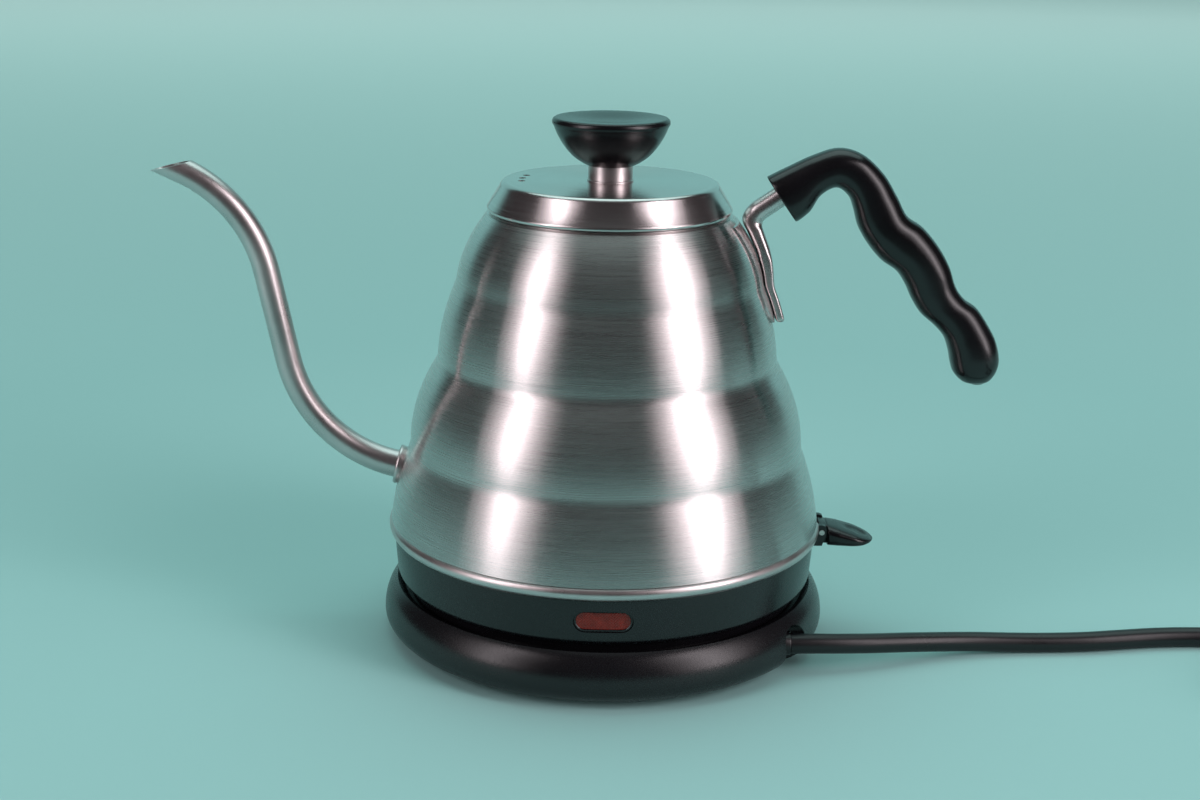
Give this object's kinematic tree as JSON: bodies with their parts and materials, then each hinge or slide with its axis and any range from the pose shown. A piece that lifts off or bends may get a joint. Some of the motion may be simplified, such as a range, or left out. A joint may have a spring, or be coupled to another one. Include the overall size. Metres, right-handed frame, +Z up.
{
  "type": "gooseneck kettle",
  "caption": "Electric pour-over kettle with a stepped steel body, gooseneck spout, wavy black handle, knobbed lid and corded round power base.",
  "frame": {"origin": "on the table, on the axis of the round power base and the kettle", "axes": "+Z up; +X towards the handle and the switch, so the spout points to -X; -Y is the side with the indicator lamp"},
  "size_m": [0.4309, 0.2604, 0.1712],
  "materials": {
    "body_steel": "brushed round the axis, satin",
    "polished_steel": "fine polish, slightly satin",
    "handle_steel": "satin with bright ground edges",
    "inner_steel": "plain drawn sheet and bar",
    "screw_steel": "plated, bright",
    "black_phenolic": "black phenolic moulding, satin gloss",
    "black_plastic": "fine spark-eroded texture, matte",
    "inner_plastic": "plain moulding, matte",
    "thermostat_plastic": "heat-proof moulding, matte",
    "foot_rubber": "moulded rubber, matte",
    "cord_rubber": "moulded sheath, satin",
    "tie_plastic": "matte",
    "lead_rubber": "wire insulation, satin",
    "seal_silicone": "silicone, matte",
    "contact_brass": "plain brass, satin",
    "element_metal": "drawn sheath, heat-dulled",
    "spreader_aluminium": "rolled plate",
    "lens_red": "clear red-brown moulding with a prism pattern behind",
    "lamp_glass": "clear"
  },
  "bodies": {
    "base": {"base_cover": "black_plastic", "base_bottom": "inner_plastic", "foot_ring": "foot_rubber", "base_screws": "screw_steel", "base_connector": "inner_plastic", "base_contacts": "contact_brass", "base_leads": "lead_rubber", "cord_clamp": "inner_plastic", "clamp_screws": "screw_steel", "cord_relief": "cord_rubber", "mains_cord": "cord_rubber", "cord_coil": "cord_rubber", "cord_tail": "cord_rubber", "cord_tie": "tie_plastic", "plug_relief": "cord_rubber", "plug_body": "cord_rubber", "plug_pins": "contact_brass"},
    "inlet": {"kettle_inlet": "inner_plastic", "inlet_contacts": "contact_brass"},
    "kettle": {"kettle_shell": "body_steel", "trim_ring": "polished_steel", "spout": "polished_steel", "spout_collar": "polished_steel", "heater_plate": "inner_steel", "heater_seal": "seal_silicone", "heating_element": "element_metal", "heat_spreader": "spreader_aluminium", "bottom_casing": "black_plastic", "casing_screws": "screw_steel", "control_unit": "thermostat_plastic", "bimetal_disc": "contact_brass", "indicator_lens": "lens_red", "lens_frame": "black_plastic", "indicator_lamp": "lamp_glass", "switch_bracket": "black_plastic", "switch_pin": "inner_steel", "handle_plate": "handle_steel", "handle_rod": "handle_steel", "handle_grip": "black_phenolic", "handle_screw": "screw_steel"},
    "switch": {"switch_lever": "black_plastic"},
    "lid": {"lid_cover": "body_steel", "lid_sleeve": "inner_steel", "knob_collar": "polished_steel", "lid_knob": "black_phenolic", "knob_screw": "screw_steel"}
  },
  "joints": [
    {"name": "kettle_lift", "type": "slide", "parent": "base", "child": "inlet", "axis": [0, 0, 1], "range_m": [0, 0.06]},
    {"name": "kettle_swivel", "type": "hinge", "parent": "inlet", "child": "kettle", "pos_m": [0, 0, 0.02], "axis": [0, 0, 1], "continuous": true},
    {"name": "switch_press", "type": "hinge", "parent": "kettle", "child": "switch", "pos_m": [0.0724, 0, 0.0355], "axis": [0, 1, 0], "range_deg": [0, 10]},
    {"name": "lid_lift", "type": "slide", "parent": "kettle", "child": "lid", "axis": [0, 0, 1], "range_m": [0, 0.06]}
  ]
}
